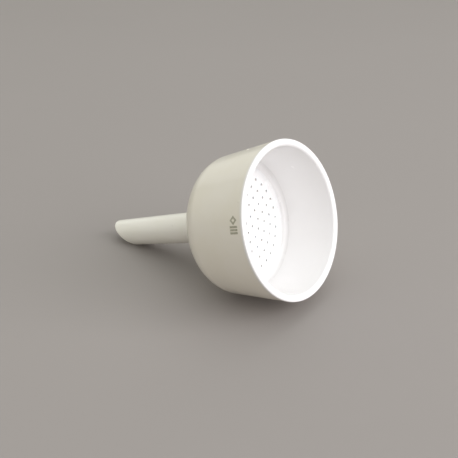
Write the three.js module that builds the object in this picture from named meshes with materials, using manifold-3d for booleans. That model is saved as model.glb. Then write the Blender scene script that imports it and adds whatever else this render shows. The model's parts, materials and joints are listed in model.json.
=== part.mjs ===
// Porcelain filter funnel with a fixed perforated plate (Buchner pattern), lying on its side.
//
// The funnel is drawn upright about its own axis: +Z runs from the stem to the mouth and z = 0 is the
// rim, so a point at depth d below the rim has z = -d. The group is then laid down until it rests on
// the shoulder of its bowl and on the short side of its bevelled tip, with the mouth towards +X.
// Millimetres throughout. The origin is the middle of the resting footprint, on the table.

import * as THREE from 'three';
import { mergeVertices } from 'three/addons/utils/BufferGeometryUtils.js';
import Module from 'manifold-3d';

const wasm = await Module();
wasm.setup();

// ---- driving dimensions ---------------------------------------------------------------------------

const RIM_RADIUS = 42;              // outside of the rim
const TOTAL_LENGTH = 135;           // rim to the long side of the tip
const WALL_LEAN = 6.32;             // degrees the outside of the wall leans in towards the stem
const MOUTH_RADIUS = 38.3;          // inside of the wall at the rim
const PLATE_SEAT_RADIUS = 36;       // inside of the wall at the top of the plate
const RIM_OUTER_ROUND = 0.9;
const RIM_INNER_ROUND = 1.3;

const PLATE_DEPTH = 31.6;           // rim to the top of the plate
const PLATE_THICKNESS = 4;
const HOLE_RINGS = 5;               // ring k holds 6k holes, round one centre hole
const HOLE_PITCH = 5.25;
const HOLE_RADIUS = 0.75;
const HOLE_PATTERN_TURN = -6.5;     // degrees
const PLATE_FILLET = 2.4;
const REBATE_RADIUS = 32.4;         // outside this the edge of the plate is cut down to take the slip
const REBATE_DEPTH = 0.6;

const SHOULDER_RADIUS = 14.4;       // outside arc between the wall and the base
const BASE_SLOPE = 18;              // degrees the base falls towards the stem
const BASE_WALL = 3.2;
const LEDGE_RADIUS = 33;            // inner edge of the ledge under the plate

const STEM_ROOT_RADIUS = 9.3;
const STEM_TIP_RADIUS = 8;
const BORE_ROOT_RADIUS = 5.5;
const BORE_TIP_RADIUS = 4.8;
const BEVEL_LENGTH = 15.2;          // how far the short side of the tip stops above the long side
const COLLAR_FILLET = 3;

const MARK_DEPTH = 6.2;             // rim to the middle of the fired mark
const MARK_ANGLE = -108;            // degrees round the axis from the side that lies lowest
const MARK_WIDTH = 5.6;             // along the axis
const MARK_HEIGHT = 9;              // round the wall
const MARK_THICKNESS = 0.3;

const JOINT_GAP = 0.3;              // slip joint left open between two pieces
const FEATHER = 0.25;               // thickness of a fillet's thin edges

const BODY_SIDES = 64;
const STEM_SIDES = 48;
const HOLE_SIDES = 6;
const ARC_STEPS = 7;

// ---- derived dimensions ---------------------------------------------------------------------------

const rad = THREE.MathUtils.degToRad;

const wallOuter = (depth) => RIM_RADIUS - depth * Math.tan(rad(WALL_LEAN));
const wallInner = (depth) => THREE.MathUtils.lerp(MOUTH_RADIUS, PLATE_SEAT_RADIUS, depth / PLATE_DEPTH);
const onShoulder = (radius, degrees) => [
  shoulderCentre.r + radius * Math.cos(rad(degrees)),
  shoulderCentre.depth + radius * Math.sin(rad(degrees)),
];

const wallHeight = PLATE_DEPTH + PLATE_THICKNESS;
const shoulderCentre = {
  r: wallOuter(wallHeight) - SHOULDER_RADIUS * Math.cos(rad(WALL_LEAN)),
  depth: wallHeight - SHOULDER_RADIUS * Math.sin(rad(WALL_LEAN)),
};
const baseStart = onShoulder(SHOULDER_RADIUS, 90 - BASE_SLOPE);
const baseDepth = (r) => baseStart[1] + (baseStart[0] - r) * Math.tan(rad(BASE_SLOPE));
const bowlTop = wallHeight + JOINT_GAP;
const stemTop = baseDepth(STEM_ROOT_RADIUS) + JOINT_GAP;
const shortSide = TOTAL_LENGTH - BEVEL_LENGTH;
const stemOuter = (depth) => {
  const along = (depth - stemTop) / (TOTAL_LENGTH - stemTop);
  return THREE.MathUtils.lerp(STEM_ROOT_RADIUS, STEM_TIP_RADIUS, along);
};

// ---- shape helpers --------------------------------------------------------------------------------

// Points [radius, depth] on an arc, both ends included, with angles from +r towards +depth.
function arc(centreR, centreDepth, radius, from, to, steps = ARC_STEPS) {
  return Array.from({ length: steps + 1 }, (_, i) => {
    const angle = rad(from + ((to - from) * i) / steps);
    return [centreR + radius * Math.cos(angle), centreDepth + radius * Math.sin(angle)];
  });
}

// A ring turned about the axis from a closed outline of [radius, depth] points, listed so that the
// bore side runs towards the stem and the outer side towards the rim. A flat of it faces local +X.
function turned(outline, sides) {
  const points = outline.map(([r, depth]) => new THREE.Vector2(r, -depth));
  points.push(points[0].clone());
  const geometry = new THREE.LatheGeometry(points, sides, Math.PI / sides, 2 * Math.PI);
  geometry.rotateX(Math.PI / 2);
  return geometry;
}

function toSolid(geometry) {
  const bare = geometry.clone();
  bare.deleteAttribute('normal');
  bare.deleteAttribute('uv');
  const merged = mergeVertices(bare, 1e-4);
  return new wasm.Manifold(new wasm.Mesh({
    numProp: 3,
    vertProperties: new Float32Array(merged.attributes.position.array),
    triVerts: new Uint32Array(merged.index.array),
  }));
}

function toGeometry(solid) {
  const mesh = solid.getMesh();
  const geometry = new THREE.BufferGeometry();
  geometry.setAttribute('position', new THREE.BufferAttribute(new Float32Array(mesh.vertProperties), 3));
  geometry.setIndex(new THREE.BufferAttribute(new Uint32Array(mesh.triVerts), 1));
  geometry.computeVertexNormals();
  return geometry;
}

// A regular polygon with its corners on the radius given.
function polygon(target, x, y, radius, sides, firstAngle) {
  for (let i = 0; i < sides; i += 1) {
    const angle = firstAngle + (2 * Math.PI * i) / sides;
    const corner = [x + radius * Math.cos(angle), y + radius * Math.sin(angle)];
    if (i === 0) target.moveTo(...corner);
    else target.lineTo(...corner);
  }
  target.closePath();
  return target;
}

function part(name, geometry, material) {
  const mesh = new THREE.Mesh(geometry, material);
  mesh.name = name;
  return mesh;
}

// ---- pieces ---------------------------------------------------------------------------------------

// The straight wall above the plate, with a flat rim face between two rounded edges.
function upperWall() {
  const rimOutside = wallOuter(RIM_OUTER_ROUND);
  return turned([
    [wallInner(RIM_INNER_ROUND), RIM_INNER_ROUND],
    [wallInner(PLATE_DEPTH / 2), PLATE_DEPTH / 2],
    [wallInner(wallHeight), wallHeight],
    [wallOuter(wallHeight), wallHeight],
    [wallOuter(wallHeight / 2), wallHeight / 2],
    ...arc(rimOutside - RIM_OUTER_ROUND, RIM_OUTER_ROUND, RIM_OUTER_ROUND, 0, -90, 3),
    ...arc(MOUTH_RADIUS + RIM_INNER_ROUND, RIM_INNER_ROUND, RIM_INNER_ROUND, -90, -165, 3),
  ], BODY_SIDES);
}

// The filter plate: one centre hole and rings of 6, 12, 18, 24 and 30 holes, and a rebate round its edge.
function filterPlate() {
  const radius = wallInner(wallHeight) - JOINT_GAP;
  const disc = polygon(new THREE.Shape(), 0, 0, radius, BODY_SIDES, Math.PI / BODY_SIDES);
  disc.holes.push(polygon(new THREE.Path(), 0, 0, HOLE_RADIUS, HOLE_SIDES, 0));
  for (let ring = 1; ring <= HOLE_RINGS; ring += 1) {
    for (let i = 0; i < 6 * ring; i += 1) {
      const angle = rad(HOLE_PATTERN_TURN) + (2 * Math.PI * i) / (6 * ring);
      const x = ring * HOLE_PITCH * Math.cos(angle);
      const y = ring * HOLE_PITCH * Math.sin(angle);
      disc.holes.push(polygon(new THREE.Path(), x, y, HOLE_RADIUS, HOLE_SIDES, angle));
    }
  }
  const geometry = new THREE.ExtrudeGeometry(disc, { depth: PLATE_THICKNESS, bevelEnabled: false });
  geometry.translate(0, 0, -PLATE_DEPTH - PLATE_THICKNESS);
  const rebate = turned([
    [REBATE_RADIUS, PLATE_DEPTH - REBATE_DEPTH],
    [REBATE_RADIUS, PLATE_DEPTH + REBATE_DEPTH],
    [RIM_RADIUS, PLATE_DEPTH + REBATE_DEPTH],
    [RIM_RADIUS, PLATE_DEPTH - REBATE_DEPTH],
  ], BODY_SIDES);
  return toGeometry(toSolid(geometry).subtract(toSolid(rebate)));
}

// The bead of slip that fills the rebate and seals the plate to the wall, wiped to a hollow fillet.
function plateFillet() {
  const floor = PLATE_DEPTH + REBATE_DEPTH - JOINT_GAP;
  const edge = wallInner(floor) - JOINT_GAP;
  const hollow = FEATHER + PLATE_FILLET;
  return turned([
    [edge - hollow, floor],
    [edge, floor],
    [wallInner(floor - hollow) - JOINT_GAP, floor - hollow],
    ...arc(edge - hollow, floor - hollow, PLATE_FILLET, 0, 90),
  ], BODY_SIDES);
}

// The outside of the shoulder, from the base up to the wall.
function shoulderOutline() {
  const first = THREE.MathUtils.radToDeg(Math.asin((bowlTop - shoulderCentre.depth) / SHOULDER_RADIUS));
  return arc(shoulderCentre.r, shoulderCentre.depth, SHOULDER_RADIUS, 90 - BASE_SLOPE, first);
}

// The bowl under the plate: a ledge for the plate, a rounded shoulder and a base that falls to the outlet.
function lowerBowl() {
  const inside = SHOULDER_RADIUS - BASE_WALL;
  const firstInner = THREE.MathUtils.radToDeg(Math.acos((LEDGE_RADIUS - shoulderCentre.r) / inside));
  const last = 90 - BASE_SLOPE;
  const innerEnd = onShoulder(inside, last);
  const outletTop = innerEnd[1] + (innerEnd[0] - BORE_ROOT_RADIUS) * Math.tan(rad(BASE_SLOPE));
  const bottom = baseDepth(STEM_ROOT_RADIUS);
  return turned([
    [LEDGE_RADIUS, bowlTop],
    ...arc(shoulderCentre.r, shoulderCentre.depth, inside, firstInner, last, 4),
    [BORE_ROOT_RADIUS, outletTop],
    [BORE_ROOT_RADIUS, bottom],
    [STEM_ROOT_RADIUS, bottom],
    ...shoulderOutline(),
  ], BODY_SIDES);
}

// The stem: a slightly tapered tube whose tip is cut across at a slant.
function stem() {
  const tube = turned([
    [BORE_ROOT_RADIUS, stemTop],
    [BORE_TIP_RADIUS, TOTAL_LENGTH],
    [STEM_TIP_RADIUS, TOTAL_LENGTH],
    [STEM_ROOT_RADIUS, stemTop],
  ], STEM_SIDES);
  const reach = 4 * BEVEL_LENGTH;
  const knife = new THREE.BoxGeometry(reach, reach, reach);
  knife.translate(0, 0, -reach / 2);
  knife.rotateY(-Math.atan2(BEVEL_LENGTH, STEM_TIP_RADIUS + stemOuter(shortSide)));
  knife.translate(-STEM_TIP_RADIUS, 0, -TOTAL_LENGTH);
  return toGeometry(toSolid(tube).subtract(toSolid(knife)));
}

// The bead of slip round the joint of stem and bowl.
function stemCollar() {
  const inner = STEM_ROOT_RADIUS + JOINT_GAP;
  const hollow = FEATHER + COLLAR_FILLET;
  const outer = inner + hollow;
  const lift = JOINT_GAP / Math.cos(rad(BASE_SLOPE));
  const under = (r) => baseDepth(r) + lift;
  const low = under(outer) + hollow;
  return turned([
    [inner, under(inner)],
    [inner, low],
    ...arc(outer, low, COLLAR_FILLET, 180, 270),
    [outer, under(outer)],
  ], STEM_SIDES);
}

// The patch of wall that carries the fired mark.
function firedMark() {
  const from = MARK_DEPTH - MARK_WIDTH / 2;
  const to = MARK_DEPTH + MARK_WIDTH / 2;
  const skin = turned([
    [wallOuter(from) + JOINT_GAP, from],
    [wallOuter(to) + JOINT_GAP, to],
    [wallOuter(to) + JOINT_GAP + MARK_THICKNESS, to],
    [wallOuter(from) + JOINT_GAP + MARK_THICKNESS, from],
  ], BODY_SIDES);
  const window = new THREE.BoxGeometry(RIM_RADIUS, MARK_HEIGHT, TOTAL_LENGTH);
  window.translate(RIM_RADIUS, 0, 0);
  window.rotateZ(rad(MARK_ANGLE));
  return toGeometry(toSolid(skin).intersect(toSolid(window)));
}

// ---- assembly -------------------------------------------------------------------------------------

const glaze = new THREE.MeshStandardMaterial({ color: 0xf1efe6, roughness: 0.22, metalness: 0 });
const plateGlaze = new THREE.MeshStandardMaterial({ color: 0xf6f5f0, roughness: 0.32, metalness: 0 });
const slip = new THREE.MeshStandardMaterial({ color: 0xece9de, roughness: 0.3, metalness: 0 });
const markInk = new THREE.MeshStandardMaterial({ color: 0x7f8468, roughness: 0.35, metalness: 0 });

// The table touches the tip's short edge and the bowl's shoulder, so the axis rises by this angle.
// The funnel's weight lies between the two, which keeps the rim clear of the table.
function restAngle() {
  const flat = (sides) => Math.cos(Math.PI / sides);
  const tip = stemOuter(shortSide) * flat(STEM_SIDES);
  const rise = ([r, depth]) => Math.atan2(r * flat(BODY_SIDES) - tip, shortSide - depth);
  return Math.max(...shoulderOutline().map(rise));
}

const funnel = new THREE.Group();
funnel.add(
  part('upper_wall', upperWall(), glaze),
  part('filter_plate', filterPlate(), plateGlaze),
  part('plate_slip_fillet', plateFillet(), slip),
  part('lower_bowl', lowerBowl(), glaze),
  part('stem', stem(), glaze),
  part('stem_slip_collar', stemCollar(), slip),
  part('fired_mark', firedMark(), markInk),
);
funnel.rotation.y = Math.PI / 2 - restAngle();

const object = new THREE.Group();
object.add(funnel);
object.updateMatrixWorld(true);
const box = new THREE.Box3().setFromObject(object, true);
const middle = box.getCenter(new THREE.Vector3());
funnel.position.set(-middle.x, -middle.y, -box.min.z);

export default object;
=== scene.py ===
"""Porcelain filter funnel lying on its side: its fine surface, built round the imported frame.

Every piece is drawn upright in millimetres, with the mouth up: a point has a radius from the axis and a
depth below the rim, so at depth d it lies at z = -d. Local +X is the side that lies lowest. One placement,
taken from the mounts in the frame's record, then lays the piece down in metres in the frame's own axes.
"""

import json
import logging
import math
from collections.abc import Callable, Iterable, Mapping
from dataclasses import dataclass
from enum import Enum
from typing import Any

import bmesh
import bpy
from bmesh.types import BMEdge, BMesh, BMVert
from mathutils import Matrix, Vector

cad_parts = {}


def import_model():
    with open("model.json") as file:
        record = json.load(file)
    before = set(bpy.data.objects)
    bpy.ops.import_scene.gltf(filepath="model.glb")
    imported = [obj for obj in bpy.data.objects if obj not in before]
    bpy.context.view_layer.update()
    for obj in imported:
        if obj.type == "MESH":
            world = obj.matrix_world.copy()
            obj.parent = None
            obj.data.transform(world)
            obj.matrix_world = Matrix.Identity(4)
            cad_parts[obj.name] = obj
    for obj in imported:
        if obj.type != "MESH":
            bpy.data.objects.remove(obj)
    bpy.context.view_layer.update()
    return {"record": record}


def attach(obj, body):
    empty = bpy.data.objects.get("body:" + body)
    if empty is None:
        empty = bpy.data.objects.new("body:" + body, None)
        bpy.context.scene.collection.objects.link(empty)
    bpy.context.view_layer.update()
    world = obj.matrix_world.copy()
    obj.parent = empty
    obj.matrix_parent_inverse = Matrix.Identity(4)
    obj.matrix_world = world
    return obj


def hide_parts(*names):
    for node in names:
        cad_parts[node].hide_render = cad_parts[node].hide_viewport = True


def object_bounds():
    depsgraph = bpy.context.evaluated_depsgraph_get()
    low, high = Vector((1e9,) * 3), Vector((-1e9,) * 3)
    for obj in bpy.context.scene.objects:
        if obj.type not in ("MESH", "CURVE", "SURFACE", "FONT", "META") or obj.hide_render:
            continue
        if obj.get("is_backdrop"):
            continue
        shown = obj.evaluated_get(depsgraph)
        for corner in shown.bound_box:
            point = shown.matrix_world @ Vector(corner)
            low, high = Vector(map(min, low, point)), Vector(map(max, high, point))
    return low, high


MM = 0.001
FULL_TURN = 2 * math.pi
MERGE_DISTANCE = 1e-4
CREASE_ANGLE = 40.0
RING_TOLERANCE = 0.02
CIRCULAR_PROFILE = 0.5
BODY = "root"

log = logging.getLogger("funnel")

Colour = tuple[float, float, float]
Point = tuple[float, float]


class Slot(Enum):
    """The record's material slots."""

    WALL = "glazed_porcelain"
    PLATE = "plate_porcelain"
    SLIP = "slip_joint"
    MARK = "mark_enamel"


# ---- where the funnel lies ----


@dataclass(frozen=True)
class Placement:
    """Where the upright funnel goes in the frame.

    Attributes:
        rim_centre: Middle of the rim's face, in metres.
        axis: Direction from the stem to the mouth.
    """

    rim_centre: Vector
    axis: Vector

    @classmethod
    def from_record(cls, record: Mapping[str, Any]) -> "Placement":
        """Reads the axis and the rim's plane off the mounts.

        Args:
            record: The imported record.

        Returns:
            The placement of this funnel.
        """
        mounts = {mount["name"]: mount for mount in record["mounts"]}
        axis = Vector(mounts["rim_face"]["axis"]).normalized()
        on_axis = Vector(mounts["stem_bung_seat"]["pos_m"])
        on_rim = Vector(mounts["rim_face"]["pos_m"])
        return cls(on_axis + axis * (on_rim - on_axis).dot(axis), axis)

    @property
    def turn(self) -> Matrix:
        """The rotation from the upright funnel's axes to the frame's."""
        down = Vector((0, 1, 0)).cross(self.axis).normalized()
        return Matrix((down, self.axis.cross(down), self.axis)).transposed()

    @property
    def matrix(self) -> Matrix:
        """From upright millimetres to metres in the frame."""
        return Matrix.LocRotScale(self.rim_centre, self.turn, Vector((MM, MM, MM)))


@dataclass(frozen=True)
class FunnelSizes:
    """The driving sizes that several pieces share, in millimetres and degrees."""

    rim_radius: float = 42.0
    wall_lean: float = 6.32
    mouth_radius: float = 38.3
    plate_seat_radius: float = 36.0
    plate_depth: float = 31.6
    plate_thickness: float = 4.0
    rebate_radius: float = 32.4
    rebate_depth: float = 0.6
    shoulder_radius: float = 14.4
    base_slope: float = 18.0
    stem_root_radius: float = 9.3
    stem_tip_radius: float = 8.0
    total_length: float = 135.0

    @property
    def wall_height(self) -> float:
        """Depth at which the wall ends and the lower bowl begins."""
        return self.plate_depth + self.plate_thickness

    @property
    def inner_lean(self) -> float:
        """How far the inside of the wall leans in, in degrees."""
        return math.degrees(math.atan2(self.mouth_radius - self.plate_seat_radius, self.plate_depth))

    @property
    def shoulder_centre(self) -> Point:
        """Centre of the shoulder's arc, which the wall runs into without a kink."""
        lean = math.radians(self.wall_lean)
        radius = self.wall_outer(self.wall_height) - self.shoulder_radius * math.cos(lean)
        return radius, self.wall_height - self.shoulder_radius * math.sin(lean)

    @property
    def stem_top(self) -> float:
        """Depth at which the base meets the outside of the stem."""
        return self.base_depth(self.stem_root_radius)

    def wall_outer(self, depth: float) -> float:
        """Radius of the outside of the wall at a depth."""
        return self.rim_radius - depth * math.tan(math.radians(self.wall_lean))

    def wall_inner(self, depth: float) -> float:
        """Radius of the inside of the wall at a depth."""
        return self.mouth_radius - depth * math.tan(math.radians(self.inner_lean))

    def on_shoulder(self, radius: float, degrees: float) -> Point:
        """A point at that distance and angle from the shoulder's centre.

        Args:
            radius: Distance from the centre.
            degrees: Angle from outwards, towards the stem.

        Returns:
            The point's radius and depth.
        """
        centre_radius, centre_depth = self.shoulder_centre
        angle = math.radians(degrees)
        return centre_radius + radius * math.cos(angle), centre_depth + radius * math.sin(angle)

    def base_depth(self, radius: float) -> float:
        """Depth of the outside of the sloping base at a radius."""
        start_radius, start_depth = self.on_shoulder(self.shoulder_radius, 90 - self.base_slope)
        return start_depth + (start_radius - radius) * math.tan(math.radians(self.base_slope))

    def tapered(self, depth: float, root: float, tip: float) -> float:
        """A radius that changes evenly along the stem.

        Args:
            depth: The depth that is asked for.
            root: The radius at the stem's root.
            tip: The radius at its tip.

        Returns:
            The radius at that depth.
        """
        along = (depth - self.stem_top) / (self.total_length - self.stem_top)
        return root + along * (tip - root)

    def stem_outer(self, depth: float) -> float:
        """Radius of the outside of the stem at a depth."""
        return self.tapered(depth, self.stem_root_radius, self.stem_tip_radius)


# ---- drawing and turning ----


class Outline:
    """A closed outline of (radius, depth) points in millimetres, to be turned about the axis."""

    HOLD = 0.2
    SPACING = 3.0
    SHORTEST_STRETCH = 0.1
    EASE_SHARE = 0.04

    def __init__(self, radius: float, depth: float) -> None:
        """Starts the outline at a corner."""
        self.points: list[Point] = [(radius, depth)]

    def line(self, radius: float, depth: float, first: float = HOLD, last: float = HOLD) -> None:
        """Draws a straight stretch, with a ring near each end that keeps the shading flat up to there.

        Args:
            radius: Radius of its far end.
            depth: Depth of its far end.
            first: How far from the near end the first ring lies.
            last: How far from the far end the last ring lies.
        """
        start = Vector(self.points[-1])
        end = Vector((radius, depth))
        length = (end - start).length
        between = length - first - last
        if between > self.SHORTEST_STRETCH:
            count = math.ceil(between / self.SPACING)
            for step in range(count + 1):
                along = first + between * step / count
                self.points.append(tuple(start.lerp(end, along / length)))
        self.points.append((radius, depth))

    def arc(self, centre: Point, radius: float, start: float, end: float, steps: int,
            eased: bool = True) -> None:
        """Draws an arc.

        Args:
            centre: Radius and depth of the arc's centre.
            radius: The arc's own radius.
            start: First angle, in degrees from outwards towards the stem.
            end: Last angle.
            steps: Number of full steps.
            eased: Whether a very short step at each end keeps the arc's tangents.
        """
        ease = self.EASE_SHARE / steps
        shares = [step / steps for step in range(steps + 1)]
        if eased:
            shares.insert(1, ease)
            shares.insert(-1, 1 - ease)
        for share in shares:
            angle = math.radians(start + (end - start) * share)
            place = (centre[0] + radius * math.cos(angle), centre[1] + radius * math.sin(angle))
            self.points.append(place)

    def turned(self, sides: int, closed: bool = True) -> BMesh:
        """Spins the outline about the axis.

        Args:
            sides: Steps of the full turn.
            closed: Whether the last point joins the first.

        Returns:
            A new mesh with the ring.
        """
        bm = bmesh.new()
        verts = [bm.verts.new((radius, 0, -depth)) for radius, depth in self.points]
        pairs = list(zip(verts, verts[1:]))
        if closed:
            pairs.append((verts[-1], verts[0]))
        edges = [bm.edges.new(pair) for pair in pairs]
        bmesh.ops.spin(bm, geom=verts + edges, cent=(0, 0, 0), axis=(0, 0, 1), dvec=(0, 0, 0),
                       angle=FULL_TURN, steps=sides, use_merge=True, use_duplicate=False)
        return bm


def radius_of(point: Vector) -> float:
    """Distance of a point from the upright funnel's axis."""
    return math.hypot(point.x, point.y)


def ring_edges(bm: BMesh, radius: float, depth: float) -> list[BMEdge]:
    """The ring of edges that runs round the axis at that radius and depth.

    Args:
        bm: The mesh to look in.
        radius: The ring's radius.
        depth: The ring's depth below the rim.

    Returns:
        The ring's edges.
    """

    def on_ring(vert: BMVert) -> bool:
        off = (abs(radius_of(vert.co) - radius), abs(vert.co.z + depth))
        return max(off) < RING_TOLERANCE

    return [edge for edge in bm.edges if all(on_ring(vert) for vert in edge.verts)]


def round_edges(bm: BMesh, edges: Iterable[BMEdge], size: float, steps: int) -> None:
    """Rounds edges with a bevel of circular section.

    Args:
        bm: The mesh they belong to.
        edges: The edges to round.
        size: How far from the edge the round begins.
        steps: Segments across the round.
    """
    bmesh.ops.bevel(bm, geom=list(edges), offset=size, offset_type="OFFSET", affect="EDGES", segments=steps,
                    profile=CIRCULAR_PROFILE, material=-1, clamp_overlap=True)


def split(bm: BMesh, point: Vector, normal: Vector, clear: bool = False) -> None:
    """Cuts a mesh along a plane.

    Args:
        bm: The mesh to cut.
        point: A point of the plane.
        normal: The plane's normal.
        clear: Whether what lies on the normal's side is removed.
    """
    bmesh.ops.bisect_plane(bm, geom=[*bm.verts, *bm.edges, *bm.faces], dist=MERGE_DISTANCE, plane_co=point,
                           plane_no=normal, clear_outer=clear)


@dataclass(frozen=True)
class GlazeDrop:
    """A small drop or hollow where the glaze ran, on the outside of a straight cone.

    Attributes:
        depth: Depth of its middle below the rim.
        angle: Its place round the axis, in degrees from the lowest side.
        width: Distance from its middle at which it has fallen to about a third.
        height: How far it stands out, or how far it sinks in where it is negative.

    The surface is divided once for each of REACHES, within that distance of the drop, until an edge is as
    short as a cell. SKIN is how far off the cone a point may lie and still belong to it.
    """

    depth: float
    angle: float
    width: float
    height: float

    REACHES = (6.0, 4.2, 3.2)
    CELLS_PER_WIDTH = 5
    WIDTHS_OUT = 4
    SKIN = 0.05

    def add(self, bm: BMesh, radius_at: Callable[[float], float]) -> None:
        """Divides the surface finely round the drop and shapes it.

        Args:
            bm: The upright mesh.
            radius_at: The cone's radius at a depth.
        """
        turn = math.radians(self.angle)
        radius = radius_at(self.depth)
        middle = Vector((radius * math.cos(turn), radius * math.sin(turn), -self.depth))
        cell = self.width / self.CELLS_PER_WIDTH

        def on_cone(vert: BMVert, reach: float) -> bool:
            off_cone = abs(radius_of(vert.co) - radius_at(-vert.co.z))
            return (vert.co - middle).length < reach and off_cone < self.SKIN

        for reach in self.REACHES:
            near = {vert for vert in bm.verts if on_cone(vert, reach)}
            edges = [edge for edge in bm.edges if edge.calc_length() > cell and near.issuperset(edge.verts)]
            made = bmesh.ops.subdivide_edges(bm, edges=edges, cuts=2, use_grid_fill=True)
            for vert in (part for part in made["geom_inner"] if isinstance(part, BMVert)):
                scale = radius_at(-vert.co.z) / radius_of(vert.co)
                vert.co = Vector((vert.co.x * scale, vert.co.y * scale, vert.co.z))
        for vert in bm.verts:
            if on_cone(vert, self.WIDTHS_OUT * self.width):
                rise = self.height * math.exp(-((vert.co - middle).length / self.width) ** 2)
                out = Vector((vert.co.x, vert.co.y, 0)).normalized()
                vert.co += out * rise


def finish_mesh(bm: BMesh) -> None:
    """Merges doubles, points the faces outwards and shades the mesh smooth between sharp edges.

    Args:
        bm: The mesh to finish.
    """
    bmesh.ops.remove_doubles(bm, verts=bm.verts, dist=MERGE_DISTANCE)
    bmesh.ops.recalc_face_normals(bm, faces=bm.faces)
    for face in bm.faces:
        face.smooth = True
    for edge in bm.edges:
        edge.smooth = edge.is_manifold and edge.calc_face_angle(0.0) < math.radians(CREASE_ANGLE)


@dataclass
class Piece:
    """One finished piece: its mesh goes to its place, takes its finish and stands for its node.

    Attributes:
        name: The piece's own name.
        node: The frame's node that it stands for.
        slot: The record's material slot; not used.
        finish: What the piece is glazed with.
    """

    name: str
    node: str
    slot: Slot
    finish: "Finish"

    def add(self, bm: BMesh, placement: Placement) -> None:
        """Turns an upright mesh into the finished object.

        Args:
            bm: The upright mesh, which is used up.
            placement: Where the funnel lies.
        """
        bmesh.ops.transform(bm, matrix=placement.matrix, verts=bm.verts)
        mesh = bpy.data.meshes.new(self.name)
        bm.to_mesh(mesh)
        bm.free()
        mesh.materials.append(self.finish.material(placement))
        obj = bpy.data.objects.new(self.name, mesh)
        bpy.context.scene.collection.objects.link(obj)
        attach(obj, BODY)
        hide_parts(self.node)
        log.info("%s stands for %s: %d faces", self.name, self.node, len(mesh.polygons))


# ---- shader maths ----


class Wire:
    """A value in a node tree. Python's operators on it add the Math nodes that work the result out."""

    def __init__(self, shader: "Shader", socket: bpy.types.NodeSocket) -> None:
        """Wraps an output socket of a tree."""
        self.shader = shader
        self.socket = socket

    def _math(self, operation: str, *values: "Wire | float") -> "Wire":
        """Adds one Math node.

        Args:
            operation: The node's operation.
            values: Its inputs in order, wires or numbers.

        Returns:
            The node's result.
        """
        return self.shader.node("ShaderNodeMath", {"operation": operation}, dict(enumerate(values)))

    def __add__(self, other: "Wire | float") -> "Wire":
        """The sum of two values."""
        return self._math("ADD", self, other)

    __radd__ = __add__

    def __sub__(self, other: "Wire | float") -> "Wire":
        """This value less another."""
        return self._math("SUBTRACT", self, other)

    def __mul__(self, other: "Wire | float") -> "Wire":
        """The product of two values."""
        return self._math("MULTIPLY", self, other)

    __rmul__ = __mul__

    def __lt__(self, limit: float) -> "Wire":
        """One where this value is under the limit, and zero elsewhere."""
        return self._math("LESS_THAN", self, limit)

    def ramp(self, low: float, high: float) -> "Wire":
        """A smooth rise from zero to one.

        Args:
            low: The value at which it is still zero.
            high: The value at which it reaches one. Below low, it falls instead.

        Returns:
            The rise.
        """
        settings = {"interpolation_type": "SMOOTHSTEP"}
        sockets = {"Value": self, "From Min": low, "From Max": high, "To Min": 0.0, "To Max": 1.0}
        return self.shader.node("ShaderNodeMapRange", settings, sockets)


class Shader:
    """A new material and its node tree, with one method that makes every node."""

    MIX_INPUTS = (0, 6, 7)
    MIX_COLOUR = 2

    def __init__(self, name: str) -> None:
        """Makes an empty material of that name."""
        self.material = bpy.data.materials.new(name)
        self.material.use_nodes = True
        self.tree = self.material.node_tree
        self.tree.nodes.clear()

    def node(self, kind: str, settings: Mapping[str, Any] | None = None,
             sockets: Mapping[str | int, Any] | None = None, output: str | int = 0) -> Wire | None:
        """Adds a node.

        Args:
            kind: The node's type.
            settings: Its own settings, which are set first.
            sockets: What its inputs take: wires, numbers, colours or vectors.
            output: Which of its outputs to return.

        Returns:
            The wire from that output, or None from a node with no outputs.
        """
        made = self.tree.nodes.new(kind)
        for name, value in (settings or {}).items():
            setattr(made, name, value)
        for key, value in (sockets or {}).items():
            if isinstance(value, Wire):
                self.tree.links.new(value.socket, made.inputs[key])
            else:
                made.inputs[key].default_value = value
        return Wire(self, made.outputs[output]) if made.outputs else None

    def mix(self, share: Wire | float, first: Wire | Colour, second: Wire | Colour) -> Wire:
        """Mixes two colours.

        Args:
            share: How much of the second there is.
            first: The first colour.
            second: The second colour.

        Returns:
            The mixed colour.
        """
        colours = [value if isinstance(value, Wire) else (*value, 1.0) for value in (first, second)]
        return self.node("ShaderNodeMix", {"data_type": "RGBA"},
                         dict(zip(self.MIX_INPUTS, (share, *colours))), output=self.MIX_COLOUR)

    def upright(self, placement: Placement) -> Wire:
        """Coordinates on the upright funnel, in millimetres, with z = 0 at the rim.

        Args:
            placement: Where the funnel lies.

        Returns:
            The coordinates.
        """
        back = placement.turn.transposed()
        place = -(back @ placement.rim_centre) / MM
        sockets = {"Vector": self.node("ShaderNodeTexCoord", output="Object"), "Location": place,
                   "Rotation": back.to_euler(), "Scale": (1 / MM, 1 / MM, 1 / MM)}
        return self.node("ShaderNodeMapping", {"vector_type": "POINT"}, sockets)

    def close(self, **sockets: Any) -> bpy.types.Material:
        """Ends the tree in one glossy shader.

        Args:
            sockets: What the shader's inputs take, with _ for a blank in their names.

        Returns:
            The finished material.
        """
        named = {name.replace("_", " "): value for name, value in sockets.items()}
        surface = self.node("ShaderNodeBsdfPrincipled", {}, named)
        self.node("ShaderNodeOutputMaterial", {}, {"Surface": surface})
        return self.material


@dataclass(frozen=True)
class Noise:
    """Smooth noise about 0.5.

    Attributes:
        size: Size of its features, in the coordinates' unit.
        octaves: Octaves of finer noise.
        rise: The two values that are stretched to zero and one, or None to leave it as it is.
    """

    size: float
    octaves: float
    rise: Point | None = None

    def over(self, at: Wire) -> Wire:
        """The noise at some coordinates."""
        sockets = {"Vector": at, "Scale": 1 / self.size, "Detail": self.octaves, "Roughness": 0.5}
        noise = at.shader.node("ShaderNodeTexNoise", {"noise_dimensions": "3D"}, sockets)
        return noise.ramp(*self.rise) if self.rise else noise


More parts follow.
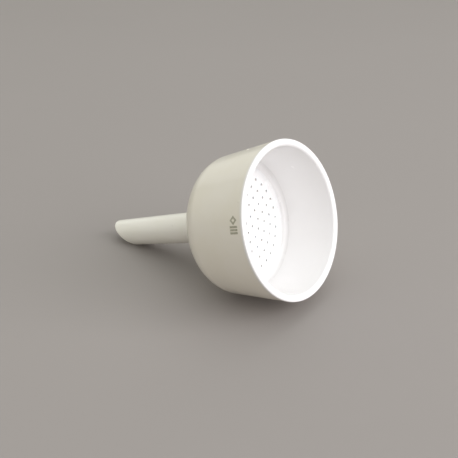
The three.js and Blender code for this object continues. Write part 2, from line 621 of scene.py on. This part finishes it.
@dataclass(frozen=True)
class Dots:
    """Small round dots scattered over a surface.

    Attributes:
        cell: Mean distance between the places that may hold a dot, in millimetres.
        radius: A dot's radius in millimetres.
        core: Share of the radius within which a dot is solid.
    """

    cell: float
    radius: float
    core: float = 0.6

    def over(self, at: Wire, share: float) -> Wire:
        """One on the dots and zero elsewhere.

        Args:
            at: Coordinates in millimetres.
            share: Share of the places that hold a dot.

        Returns:
            The dots.
        """
        shader = at.shader
        sockets = {"Vector": at, "Scale": 1 / self.cell, "Randomness": 1.0}
        distance = shader.node("ShaderNodeTexVoronoi", {"feature": "F1"}, sockets, output="Distance")
        chance = shader.node("ShaderNodeTexVoronoi", {"feature": "F1"}, sockets, output="Color")
        red = shader.node("ShaderNodeSeparateColor", {}, {"Color": chance})
        return (distance * self.cell).ramp(self.radius, self.radius * self.core) * (red < share)


# ---- finishes ----


@dataclass(frozen=True)
class Finish:
    """A glaze over porcelain.

    Attributes:
        name: Name of its material.
        body: Colour where the glaze is thin.
        pooled: Colour where it has run thick.
        gloss: Roughness where it is smoothest.
        dull: Roughness where it is dullest.
        peel: Height of the fine waviness of the surface, in millimetres.
        rings: Height of the faint turning rings, in millimetres.
        specks: Share of the places for an iron speck that hold one, and likewise for pinholes.
        translucency: Share of the light that travels through the porcelain under the glaze.
    """

    name: str
    body: Colour
    pooled: Colour
    gloss: float = 0.16
    dull: float = 0.28
    peel: float = 0.010
    rings: float = 0.006
    specks: float = 0.03
    translucency: float = 0.0

    REFRACTION = 1.5
    SCATTER_DEPTH = 1.5
    SCATTER_SHARES = (1.0, 0.95, 0.9)
    CLOUDS = Noise(17.0, 3.0, (0.36, 0.68))
    CLOUD_SHARE = 0.75
    DRIFTS = Noise(5.5, 2.0, (0.3, 0.75))
    HAZE = Noise(9.0, 4.0, (0.35, 0.8))
    SPECKS = Dots(5.0, 0.13)
    SPECK_COLOUR = (0.30, 0.24, 0.17)
    TURNING = Noise(1.7, 2.0)
    RIPPLES = Noise(1.6, 1.0)
    WAVES = Noise(7.0, 1.0)
    WAVE_SHARE = 1.5
    PINHOLES = Dots(7.0, 0.22)
    PINHOLE_DEPTH = 0.05

    def material(self, placement: Placement) -> bpy.types.Material:
        """The material, made once.

        Args:
            placement: Where the funnel lies, which its rings follow.

        Returns:
            The material of this finish.
        """
        made = bpy.data.materials.get(self.name)
        return made or self.build(Shader(self.name), placement)

    def build(self, shader: Shader, placement: Placement) -> bpy.types.Material:
        """Wires the glaze.

        Args:
            shader: The empty material.
            placement: Where the funnel lies.

        Returns:
            The finished material.
        """
        at = shader.upright(placement)
        thickness = self.CLOUDS.over(at) * self.CLOUD_SHARE + self.DRIFTS.over(at) * (1 - self.CLOUD_SHARE)
        glaze = self.tint(shader, at, thickness)
        colour = shader.mix(self.SPECKS.over(at, self.specks), glaze, self.SPECK_COLOUR)
        rough = self.gloss + (self.dull - self.gloss) * self.HAZE.over(at)
        return shader.close(Base_Color=colour, Roughness=rough, IOR=self.REFRACTION,
                            Subsurface_Weight=self.translucency, Subsurface_Radius=self.SCATTER_SHARES,
                            Subsurface_Scale=self.SCATTER_DEPTH * MM, Normal=self.relief(shader, at))

    def tint(self, shader: Shader, at: Wire, thickness: Wire) -> Wire:
        """The glaze's colour.

        Args:
            shader: The material's tree.
            at: Coordinates in millimetres.
            thickness: How thick the glaze lies, from zero to one.

        Returns:
            The colour.
        """
        return shader.mix(thickness, self.body, self.pooled)

    def relief(self, shader: Shader, at: Wire) -> Wire:
        """The glaze's fine relief as a normal: waviness, turning rings and pinholes.

        Args:
            shader: The material's tree.
            at: Coordinates in millimetres.

        Returns:
            The normal.
        """
        depth = shader.node("ShaderNodeSeparateXYZ", {}, {"Vector": at}, output="Z")
        along = shader.node("ShaderNodeCombineXYZ", {}, {"Z": depth})
        peel = self.RIPPLES.over(at) + self.WAVE_SHARE * self.WAVES.over(at)
        pits = self.PINHOLES.over(at, self.specks)
        height = peel * self.peel + self.TURNING.over(along) * self.rings - pits * self.PINHOLE_DEPTH
        return shader.node("ShaderNodeBump", {}, {"Height": height, "Strength": 1.0, "Distance": MM})


@dataclass(frozen=True)
class WallGlazeAndPaintedLight(Finish):
    """The wall's glaze, whiter inside the mouth from painted light, and cream outside, partly from painted
    shade.

    Attributes:
        inside: Colour inside the mouth, whiter than the outside's cream: painted light from the bright
            mouth.
        rim_radius: Radius of the outside of the wall at the rim, in millimetres.
        shrinkage: How much that radius shrinks for each millimetre of depth.

    It changes to the outside's cream between the two values of SKIN, measured outwards from the outside of
    the wall, and between the two of EDGE, measured upwards from the rim.
    """

    inside: Colour = (0.895, 0.885, 0.88)
    rim_radius: float = FunnelSizes.rim_radius
    shrinkage: float = math.tan(math.radians(FunnelSizes.wall_lean))

    SKIN = (-0.7, -0.1)
    EDGE = (-0.5, -2.2)

    def tint(self, shader: Shader, at: Wire, thickness: Wire) -> Wire:
        """The outside's cream, partly a painted warm cast of its shade, and the inside's white, painted
        lighter.

        Args:
            shader: The material's tree.
            at: Coordinates in millimetres.
            thickness: How thick the glaze lies, from zero to one.

        Returns:
            The colour.
        """
        flat = shader.node("ShaderNodeVectorMath", {"operation": "MULTIPLY"}, {0: at, 1: (1.0, 1.0, 0.0)})
        radius = shader.node("ShaderNodeVectorMath", {"operation": "LENGTH"}, {0: flat}, output="Value")
        height = shader.node("ShaderNodeSeparateXYZ", {}, {"Vector": at}, output="Z")
        past_skin = radius - height * self.shrinkage - self.rim_radius
        outer = past_skin.ramp(*self.SKIN) * height.ramp(*self.EDGE)
        return shader.mix(outer, self.inside, shader.mix(thickness, self.body, self.pooled))


@dataclass(frozen=True)
class MarkEnamel(Finish):
    """Grey green ink printed under the glaze, thin and a little uneven."""

    THIN = Noise(1.1, 3.0, (0.42, 0.72))
    THIN_SHARE = 0.7
    GRAIN = Noise(0.22, 2.0, (0.45, 0.75))

    def build(self, shader: Shader, placement: Placement) -> bpy.types.Material:
        """Wires the ink.

        Args:
            shader: The empty material.
            placement: Where the funnel lies.

        Returns:
            The finished material.
        """
        at = shader.upright(placement)
        grain = self.GRAIN.over(at)
        uneven = self.THIN.over(at) * self.THIN_SHARE + grain * (1 - self.THIN_SHARE)
        colour = shader.mix(uneven, self.body, self.pooled)
        rough = self.gloss + (self.dull - self.gloss) * grain
        return shader.close(Base_Color=colour, Roughness=rough, IOR=self.REFRACTION,
                            Normal=self.relief(shader, at))


# Painted light: the wall's inside is whiter than its outside, standing in for the bright light in the
# mouth.
# The cream of the wall's outside and of the bowl is partly the glaze's own tint and partly a painted warm
# cast of shade.
WALL_GLAZE_AND_PAINTED_LIGHT = WallGlazeAndPaintedLight("clear_glaze_and_painted_light_on_the_wall", body=(0.87, 0.83, 0.735), pooled=(0.855, 0.812, 0.70))
BOWL_GLAZE_AND_PAINTED_SHADE = Finish("clear_glaze_and_painted_shade_on_the_bowl", body=(0.87, 0.83, 0.735), pooled=(0.855, 0.812, 0.70))
# Painted light: the stem's glaze is lighter than the bowl's, standing in for the light on the top of the
# stem; it is the same glaze.
STEM_GLAZE_PAINTED_LIGHTER = Finish("clear_glaze_on_the_stem_painted_lighter", body=(0.95, 0.925, 0.85), pooled=(0.935, 0.91, 0.82))
PLATE_GLAZE = Finish("thin_glaze_on_the_plate", body=(0.88, 0.88, 0.88), pooled=(0.87, 0.868, 0.86),
                     gloss=0.24, dull=0.38, peel=0.014, rings=0.0, specks=0.02, translucency=0.5)
# Painted shade: the fillet's glaze is darker than the wall's inside and the plate, standing in for the
# shade in the hollow corner where they meet.
FILLET_GLAZE_PAINTED_SHADE = Finish("plate_slip_glaze_with_painted_shade", body=(0.825, 0.815, 0.81), pooled=(0.80, 0.79, 0.78),
                      gloss=0.2, dull=0.32, peel=0.016, rings=0.004, specks=0.02)
COLLAR_GLAZE = Finish("glaze_on_the_stem_slip", body=(0.86, 0.83, 0.76), pooled=(0.84, 0.81, 0.72),
                      gloss=0.2, dull=0.32, peel=0.016, rings=0.004, specks=0.02)
MARK_INK = MarkEnamel("grey_green_underglaze_ink", body=(0.41, 0.395, 0.30), pooled=(0.55, 0.53, 0.42),
                      gloss=0.2, dull=0.3, peel=0.008, rings=0.0, specks=0.0)


# ---- the funnel's sub-assemblies ----


@dataclass
class UpperBowl:
    """The straight wall with its rim, and the fillet of slip that seals the plate into it.

    A ring of edges lies round_hold beyond each round, so that the wall stays flat up to there.
    """

    sizes: FunnelSizes
    placement: Placement
    rim_outer_round: float = 0.9
    rim_inner_round: float = 1.3
    rim_outer_steps: int = 7
    rim_inner_steps: int = 8
    round_hold: float = 0.15
    fillet_radius: float = 2.4
    fillet_steps: int = 14
    drops: tuple[GlazeDrop, ...] = (GlazeDrop(16.0, -178.0, 0.7, 0.3), GlazeDrop(2.8, -123.0, 0.45, 0.12),
                                    GlazeDrop(11.0, 96.0, 0.7, 0.10))
    sides: int = 256

    def wall(self) -> BMesh:
        """The wall: an outer and an inner cone, a flat rim and two rounded edges."""
        s = self.sizes
        outline = Outline(s.wall_inner(s.wall_height), s.wall_height)
        outline.line(s.wall_outer(s.wall_height), s.wall_height)
        outer = self.rim_outer_round + self.round_hold
        inner = self.rim_inner_round + self.round_hold
        outline.line(s.rim_radius, 0.0, last=outer)
        outline.line(s.mouth_radius, 0.0, first=outer, last=inner)
        outline.line(s.wall_inner(s.wall_height), s.wall_height, first=inner)
        bm = outline.turned(self.sides)
        bmesh.ops.remove_doubles(bm, verts=bm.verts, dist=MERGE_DISTANCE)
        round_edges(bm, ring_edges(bm, s.rim_radius, 0.0), self.rim_outer_round, self.rim_outer_steps)
        round_edges(bm, ring_edges(bm, s.mouth_radius, 0.0), self.rim_inner_round, self.rim_inner_steps)
        for drop in self.drops:
            drop.add(bm, s.wall_outer)
        finish_mesh(bm)
        return bm

    def fillet(self) -> BMesh:
        """The bead of slip: a hollow arc that runs into the wall and into the plate."""
        s = self.sizes
        lean = s.inner_lean
        centre_depth = s.plate_depth - self.fillet_radius
        centre_radius = s.wall_inner(centre_depth) - self.fillet_radius / math.cos(math.radians(lean))
        floor = s.plate_depth + s.rebate_depth
        outline = Outline(s.rebate_radius, floor)
        outline.line(s.wall_inner(floor), floor)
        outline.arc((centre_radius, centre_depth), self.fillet_radius, lean, 90, self.fillet_steps)
        outline.line(s.rebate_radius, s.plate_depth)
        bm = outline.turned(self.sides)
        finish_mesh(bm)
        return bm

    def build(self) -> None:
        """Adds the wall and the fillet."""
        Piece("bowl_wall", "upper_wall", Slot.WALL, WALL_GLAZE_AND_PAINTED_LIGHT).add(self.wall(), self.placement)
        # The fillet takes the darker glaze, painted shade for its hollow corner.
        slip = Piece("slip_round_plate", "plate_slip_fillet", Slot.SLIP, FILLET_GLAZE_PAINTED_SHADE)
        slip.add(self.fillet(), self.placement)


@dataclass
class FilterPlate:
    """The fixed plate, with one centre hole and five rings of holes."""

    sizes: FunnelSizes
    placement: Placement
    hole_rings: int = 5
    holes_more_per_ring: int = 6
    hole_pitch: float = 5.25
    hole_radius: float = 0.75
    pattern_turn: float = -6.5
    hole_round: float = 0.25
    hole_land: float = 0.12
    hole_sides: int = 16
    round_steps: int = 3
    seat_gap: float = 0.05
    sides: int = 192

    def hole_centres(self) -> list[Vector]:
        """The middle of every hole, on the plate's top."""
        centres = [Vector((0, 0, 0))]
        for ring in range(1, self.hole_rings + 1):
            count = self.holes_more_per_ring * ring
            for step in range(count):
                angle = math.radians(self.pattern_turn) + FULL_TURN * step / count
                centres.append(Vector((math.cos(angle), math.sin(angle), 0)) * (ring * self.hole_pitch))
        return centres

    def hole(self) -> bpy.types.Mesh:
        """The side of the middle hole, from a narrow flat ring on the top to one on the underside."""
        top = self.sizes.plate_depth
        bottom = self.sizes.wall_height
        size, steps = self.hole_round, self.round_steps
        mouth = self.hole_radius + size
        outline = Outline(mouth + self.hole_land, top)
        outline.arc((mouth, top + size), size, -90, -180, steps, eased=False)
        outline.arc((mouth, bottom - size), size, -180, -270, steps, eased=False)
        outline.points.append((mouth + self.hole_land, bottom))
        bm = outline.turned(self.hole_sides, closed=False)
        mesh = bpy.data.meshes.new("hole")
        bm.to_mesh(mesh)
        bm.free()
        return mesh

    def plate(self) -> BMesh:
        """The plate: its edge and its holes are turned, and the flats between them are filled."""
        s = self.sizes
        seat = s.wall_inner(s.wall_height) - self.seat_gap
        edge = Outline(s.rebate_radius, s.plate_depth)
        edge.points.append((s.rebate_radius, s.plate_depth + s.rebate_depth))
        edge.points.append((seat, s.plate_depth + s.rebate_depth))
        edge.points.append((seat, s.wall_height))
        bm = edge.turned(self.sides, closed=False)
        tube = self.hole()
        for centre in self.hole_centres():
            copied = len(bm.verts)
            bm.from_mesh(tube)
            bm.verts.ensure_lookup_table()
            bmesh.ops.translate(bm, verts=bm.verts[copied:], vec=centre)
        bpy.data.meshes.remove(tube)
        bmesh.ops.remove_doubles(bm, verts=bm.verts, dist=MERGE_DISTANCE)
        for depth in (s.plate_depth, s.wall_height):
            loops = [e for e in bm.edges if e.is_boundary and abs(e.verts[0].co.z + depth) < MERGE_DISTANCE]
            bmesh.ops.triangle_fill(bm, use_beauty=True, use_dissolve=False, edges=loops, normal=(0, 0, 1))
        finish_mesh(bm)
        return bm

    def build(self) -> None:
        """Adds the plate."""
        Piece("perforated_plate", "filter_plate", Slot.PLATE, PLATE_GLAZE).add(self.plate(), self.placement)


@dataclass
class LowerBowl:
    """The bowl under the plate: a ledge, a rounded shoulder and a base that falls to the outlet."""

    sizes: FunnelSizes
    placement: Placement
    base_wall: float = 3.2
    ledge_radius: float = 33.0
    bore_radius: float = 5.5
    outlet_round: float = 1.2
    round_hold: float = 0.3
    round_steps: int = 5
    outer_steps: int = 22
    inner_steps: int = 14
    sides: int = 256

    def bowl(self) -> BMesh:
        """The bowl, turned from one closed outline and rounded where the outlet begins."""
        s = self.sizes
        inside = s.shoulder_radius - self.base_wall
        last = 90 - s.base_slope
        first_inner = math.degrees(math.acos((self.ledge_radius - s.shoulder_centre[0]) / inside))
        inner_end = s.on_shoulder(inside, last)
        outlet = inner_end[1] + (inner_end[0] - self.bore_radius) * math.tan(math.radians(s.base_slope))
        outline = Outline(s.wall_outer(s.wall_height), s.wall_height)
        outline.arc(s.shoulder_centre, s.shoulder_radius, s.wall_lean, last, self.outer_steps)
        outline.line(s.stem_root_radius, s.stem_top)
        outline.line(self.bore_radius, s.stem_top)
        outline.line(self.bore_radius, outlet)
        outline.line(*inner_end, first=self.outlet_round + self.round_hold)
        outline.arc(s.shoulder_centre, inside, last, first_inner, self.inner_steps)
        outline.line(self.ledge_radius, s.wall_height)
        bm = outline.turned(self.sides)
        bmesh.ops.remove_doubles(bm, verts=bm.verts, dist=MERGE_DISTANCE)
        round_edges(bm, ring_edges(bm, self.bore_radius, outlet), self.outlet_round, self.round_steps)
        finish_mesh(bm)
        return bm

    def build(self) -> None:
        """Adds the bowl."""
        Piece("lower_bowl_and_base", "lower_bowl", Slot.WALL, BOWL_GLAZE_AND_PAINTED_SHADE).add(self.bowl(), self.placement)


@dataclass
class Stem:
    """The tapered stem with its slanted tip, and the slip round its root.

    The tube is drawn longer than the stem by overshoot, and then cut. Its rings stop at ring_stop above the
    cut's short side, and a last one follows the slant at tip_hold above the tip's round.
    """

    sizes: FunnelSizes
    placement: Placement
    bore_root_radius: float = 5.5
    bore_tip_radius: float = 4.8
    bevel_length: float = 15.2
    ring_stop: float = 3.0
    overshoot: float = 5.0
    tip_round: float = 0.7
    tip_steps: int = 6
    tip_hold: float = 0.4
    inset_hold: float = 0.2
    collar_radius: float = 3.0
    collar_steps: int = 12
    collar_overlap: float = 0.2
    drops: tuple[GlazeDrop, ...] = (GlazeDrop(79.5, -122.0, 0.5, 0.2), GlazeDrop(96.0, 40.0, 0.7, 0.12))
    sides: int = 128

    SETTLING_ROUNDS = 8

    def tube(self) -> BMesh:
        """The tube, cut across at a slant, closed by its end face and rounded there."""
        s = self.sizes
        short_side = s.total_length - self.bevel_length
        ringed_to = short_side - self.ring_stop
        beyond = s.total_length + self.overshoot
        bore = (self.bore_root_radius, self.bore_tip_radius)
        outline = Outline(self.bore_root_radius, s.stem_top)
        outline.line(s.tapered(ringed_to, *bore), ringed_to)
        outline.points.append((s.tapered(beyond, *bore), beyond))
        outline.points.append((s.stem_outer(beyond), beyond))
        outline.points.append((s.stem_outer(ringed_to), ringed_to))
        outline.line(s.stem_root_radius, s.stem_top)
        bm = outline.turned(self.sides)
        bmesh.ops.remove_doubles(bm, verts=bm.verts, dist=MERGE_DISTANCE)
        bmesh.ops.recalc_face_normals(bm, faces=bm.faces)
        slant = math.atan2(self.bevel_length, s.stem_tip_radius + s.stem_outer(short_side))
        normal = Vector((math.sin(slant), 0, -math.cos(slant)))
        point = Vector((-s.stem_tip_radius, 0, -s.total_length))
        split(bm, point - normal * (self.tip_round + self.tip_hold), normal)
        split(bm, point, normal, clear=True)
        loops = [edge for edge in bm.edges if edge.is_boundary]
        face = bmesh.ops.bridge_loops(bm, edges=loops)["faces"]
        bmesh.ops.recalc_face_normals(bm, faces=bm.faces)
        inset = self.tip_round + self.inset_hold
        bmesh.ops.inset_region(bm, faces=face, thickness=inset, use_even_offset=True)
        round_edges(bm, [edge for edge in loops if edge.is_valid], self.tip_round, self.tip_steps)
        for drop in self.drops:
            drop.add(bm, s.stem_outer)
        finish_mesh(bm)
        return bm

    def collar(self) -> BMesh:
        """The bead of slip, an arc that runs into the base and into the stem."""
        s = self.sizes
        radius = self.collar_radius
        taper = math.atan2(s.stem_root_radius - s.stem_tip_radius, s.total_length - s.stem_top)
        slope = math.radians(s.base_slope)
        centre_radius = s.stem_root_radius + radius
        for _ in range(self.SETTLING_ROUNDS):
            centre_depth = s.base_depth(centre_radius) + radius / math.cos(slope)
            centre_radius = s.stem_outer(centre_depth) + radius / math.cos(taper)
        outline = Outline(s.stem_root_radius - self.collar_overlap, s.stem_top - self.collar_overlap)
        outline.arc((centre_radius, centre_depth), radius, -90 - s.base_slope, -180 + math.degrees(taper),
                    self.collar_steps)
        bm = outline.turned(self.sides)
        finish_mesh(bm)
        return bm

    def build(self) -> None:
        """Adds the tube and the collar."""
        # The stem takes the glaze that is painted lighter for the light on it.
        Piece("bevelled_stem", "stem", Slot.WALL, STEM_GLAZE_PAINTED_LIGHTER).add(self.tube(), self.placement)
        slip = Piece("slip_round_stem", "stem_slip_collar", Slot.SLIP, COLLAR_GLAZE)
        slip.add(self.collar(), self.placement)


@dataclass
class FiredMark:
    """A plain printed mark near the rim: an open diamond above three bars."""

    sizes: FunnelSizes
    placement: Placement
    depth: float = 6.2
    angle: float = -108.0
    diamond: float = 2.3
    diamond_place: float = -2.1
    diamond_cuts: int = 5
    line_width: float = 0.95
    bars: int = 3
    first_bar: float = 1.1
    bar_length: float = 5.0
    bar_height: float = 1.05
    bar_gap: float = 0.42
    thickness: float = 0.03
    sunk: float = 0.02
    cell: float = 0.3

    def wrap(self, bm: BMesh) -> None:
        """Lays the flat mark on the wall.

        Args:
            bm: The flat mark: x along the axis, y round the wall, z off it.
        """
        for vert in bm.verts:
            depth = self.depth + vert.co.x
            radius = self.sizes.wall_outer(depth) + vert.co.z
            angle = math.radians(self.angle) + vert.co.y / self.sizes.wall_outer(self.depth)
            vert.co = Vector((radius * math.cos(angle), radius * math.sin(angle), -depth))

    def bar(self, bm: BMesh, place: float) -> None:
        """Adds one bar of ink, whose length runs along the axis.

        Args:
            bm: The flat mark.
            place: Where its middle lies, round the wall.
        """
        size = (self.bar_length, self.bar_height)
        counts = [max(1, round(side / self.cell)) for side in size]
        matrix = Matrix.Translation((0, place, 0)) @ Matrix.Diagonal((size[0] / 2, size[1] / 2, 1, 1))
        bmesh.ops.create_grid(bm, x_segments=counts[0], y_segments=counts[1], size=1.0, matrix=matrix)

    def mark(self) -> BMesh:
        """The mark's mesh: flat shapes, wrapped on the wall and thickened."""
        bm = bmesh.new()
        bmesh.ops.create_circle(bm, cap_ends=True, segments=4, radius=self.diamond,
                                matrix=Matrix.Translation((0, self.diamond_place, 0)))
        tile = bm.faces[:]
        bmesh.ops.inset_region(bm, faces=tile, thickness=self.line_width, use_boundary=True,
                               use_even_offset=True)
        bmesh.ops.delete(bm, geom=tile, context="FACES")
        bmesh.ops.subdivide_edges(bm, edges=bm.edges[:], cuts=self.diamond_cuts, use_grid_fill=True)
        for count in range(self.bars):
            self.bar(bm, self.first_bar + count * (self.bar_height + self.bar_gap))
        bmesh.ops.translate(bm, verts=bm.verts, vec=(0, 0, -self.sunk))
        made = bmesh.ops.extrude_face_region(bm, geom=bm.faces[:])["geom"]
        raised = [part for part in made if isinstance(part, BMVert)]
        bmesh.ops.translate(bm, verts=raised, vec=(0, 0, self.sunk + self.thickness))
        self.wrap(bm)
        finish_mesh(bm)
        return bm

    def build(self) -> None:
        """Adds the mark."""
        Piece("printed_mark", "fired_mark", Slot.MARK, MARK_INK).add(self.mark(), self.placement)


# ---- studio ----


def direction(azimuth: float, elevation: float) -> Vector:
    """The unit vector towards an azimuth, from -Y towards +X, and an elevation, both in degrees."""
    a, e = math.radians(azimuth), math.radians(elevation)
    return Vector((math.sin(a) * math.cos(e), -math.cos(a) * math.cos(e), math.sin(e)))


@dataclass(frozen=True)
class Softbox:
    """A large square light aimed at the funnel, which the camera doesn't see.

    Attributes:
        name: The light's name.
        azimuth: Where it stands, in degrees from -Y towards +X.
        elevation: Its height above the horizon, in degrees.
        power: Watts.
        colour: Its colour.
        side: Its side in metres.
        distance: Its distance in metres.
    """

    name: str
    azimuth: float
    elevation: float
    power: float
    colour: Colour
    side: float = 3.0
    distance: float = 3.0

    def add(self, target: Vector) -> None:
        """Hangs the light and aims it.

        Args:
            target: The point that it is aimed at.
        """
        light = bpy.data.lights.new(self.name, "AREA")
        light.shape = "SQUARE"
        light.size = self.side
        light.energy = self.power
        light.color = self.colour
        obj = bpy.data.objects.new(self.name, light)
        out = direction(self.azimuth, self.elevation)
        place = target + out * self.distance
        obj.matrix_world = Matrix.LocRotScale(place, out.to_track_quat("Z", "Y"), None)
        obj.visible_camera = False
        bpy.context.scene.collection.objects.link(obj)


@dataclass
class Studio:
    """The camera, the plain floor, the sky and the soft lights.

    Attributes:
        placement: Where the funnel lies.
        floor_height: Height of the floor.
        azimuth: Where the camera stands, in degrees from -Y towards +X.
        elevation: Its height above the horizon, in degrees.
        lens: Focal length in millimetres.
        sensor: Width of the sensor in millimetres.
        clip: Nearest and farthest distance that the camera sees, in metres.
        rim_offset: How far the middle of the rim lies to the right of, above and in front of the camera,
            in metres.
        floor_colour: The floor's colour.
        floor_drift: How dark the floor's darkest places are, as a share of its colour.
        floor_noise: Where the floor is darker, in metres.
        floor_roughness: The floor's roughness.
        floor_radius: The floor's radius in metres.
        floor_sides: Corners of the floor's disc.
        sky_colour: Colour of the even light from all round.
        sky_strength: Its strength.
        softboxes: The lights.
    """

    placement: Placement
    floor_height: float
    azimuth: float = 36.5
    elevation: float = 26.64
    lens: float = 54.76
    sensor: float = 36.0
    clip: Point = (0.01, 20.0)
    rim_offset: tuple[float, float, float] = (0.0335, 0.00456, 0.357)
    floor_colour: Colour = (0.32, 0.295, 0.28)
    floor_drift: float = 0.96
    floor_noise: Noise = Noise(0.3, 3.0)
    floor_roughness: float = 0.85
    floor_radius: float = 8.0
    floor_sides: int = 96
    sky_colour: Colour = (1.0, 0.97, 0.93)
    sky_strength: float = 0.18
    softboxes: tuple[Softbox, ...] = (
        Softbox("side_light", 98, 20, 102.0, (0.98, 0.96, 1.0)),
        Softbox("high_light", 80, 72, 69.0, (0.96, 1.0, 0.98), side=4.6),
        Softbox("front_fill", 40, 16, 18.0, (1.0, 0.96, 0.92)),
        Softbox("left_fill", -60, 24, 15.0, (1.0, 1.0, 0.9)),
        Softbox("back_fill", 228, 42, 40.0, (1.0, 1.0, 0.94), side=4.6),
    )

    def camera(self) -> None:
        """Places the camera and makes it the scene's."""
        data = bpy.data.cameras.new("camera")
        data.lens = self.lens
        data.sensor_width = self.sensor
        data.clip_start, data.clip_end = self.clip
        turn = direction(self.azimuth, self.elevation).to_track_quat("Z", "Y")
        right, up, forward = self.rim_offset
        camera = bpy.data.objects.new("camera", data)
        place = self.placement.rim_centre - turn @ Vector((right, up, -forward))
        camera.matrix_world = Matrix.LocRotScale(place, turn, None)
        bpy.context.scene.collection.objects.link(camera)
        bpy.context.scene.camera = camera

    def floor(self) -> None:
        """Lays the floor, a wide matt disc."""
        bm = bmesh.new()
        bmesh.ops.create_circle(bm, cap_ends=True, segments=self.floor_sides, radius=self.floor_radius,
                                matrix=Matrix.Translation((0, 0, self.floor_height)))
        mesh = bpy.data.meshes.new("floor")
        bm.to_mesh(mesh)
        bm.free()
        shader = Shader("plain_paper")
        at = shader.node("ShaderNodeTexCoord", output="Object")
        darker = tuple(self.floor_drift * share for share in self.floor_colour)
        colour = shader.mix(self.floor_noise.over(at), self.floor_colour, darker)
        mesh.materials.append(shader.close(Base_Color=colour, Roughness=self.floor_roughness))
        obj = bpy.data.objects.new("floor", mesh)
        bpy.context.scene.collection.objects.link(obj)
        obj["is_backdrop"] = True

    def world(self) -> None:
        """Lights the scene from all round with an even sky."""
        world = bpy.data.worlds.new("sky")
        world.use_nodes = True
        background = world.node_tree.nodes["Background"]
        background.inputs["Color"].default_value = (*self.sky_colour, 1.0)
        background.inputs["Strength"].default_value = self.sky_strength
        bpy.context.scene.world = world
        bpy.context.scene.view_settings.view_transform = "Standard"

    def build(self) -> None:
        """Adds the camera, the floor, the sky and the lights."""
        self.camera()
        self.floor()
        self.world()
        for softbox in self.softboxes:
            softbox.add(self.placement.rim_centre)


def main() -> None:
    """Builds the funnel round the frame, then the studio."""
    logging.basicConfig(level=logging.INFO, format="%(name)s: %(message)s")
    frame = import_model()
    placement = Placement.from_record(frame["record"])
    sizes = FunnelSizes()
    for assembly in (UpperBowl, FilterPlate, LowerBowl, Stem, FiredMark):
        assembly(sizes, placement).build()
    Studio(placement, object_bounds()[0].z).build()


if __name__ == "__main__":
    main()
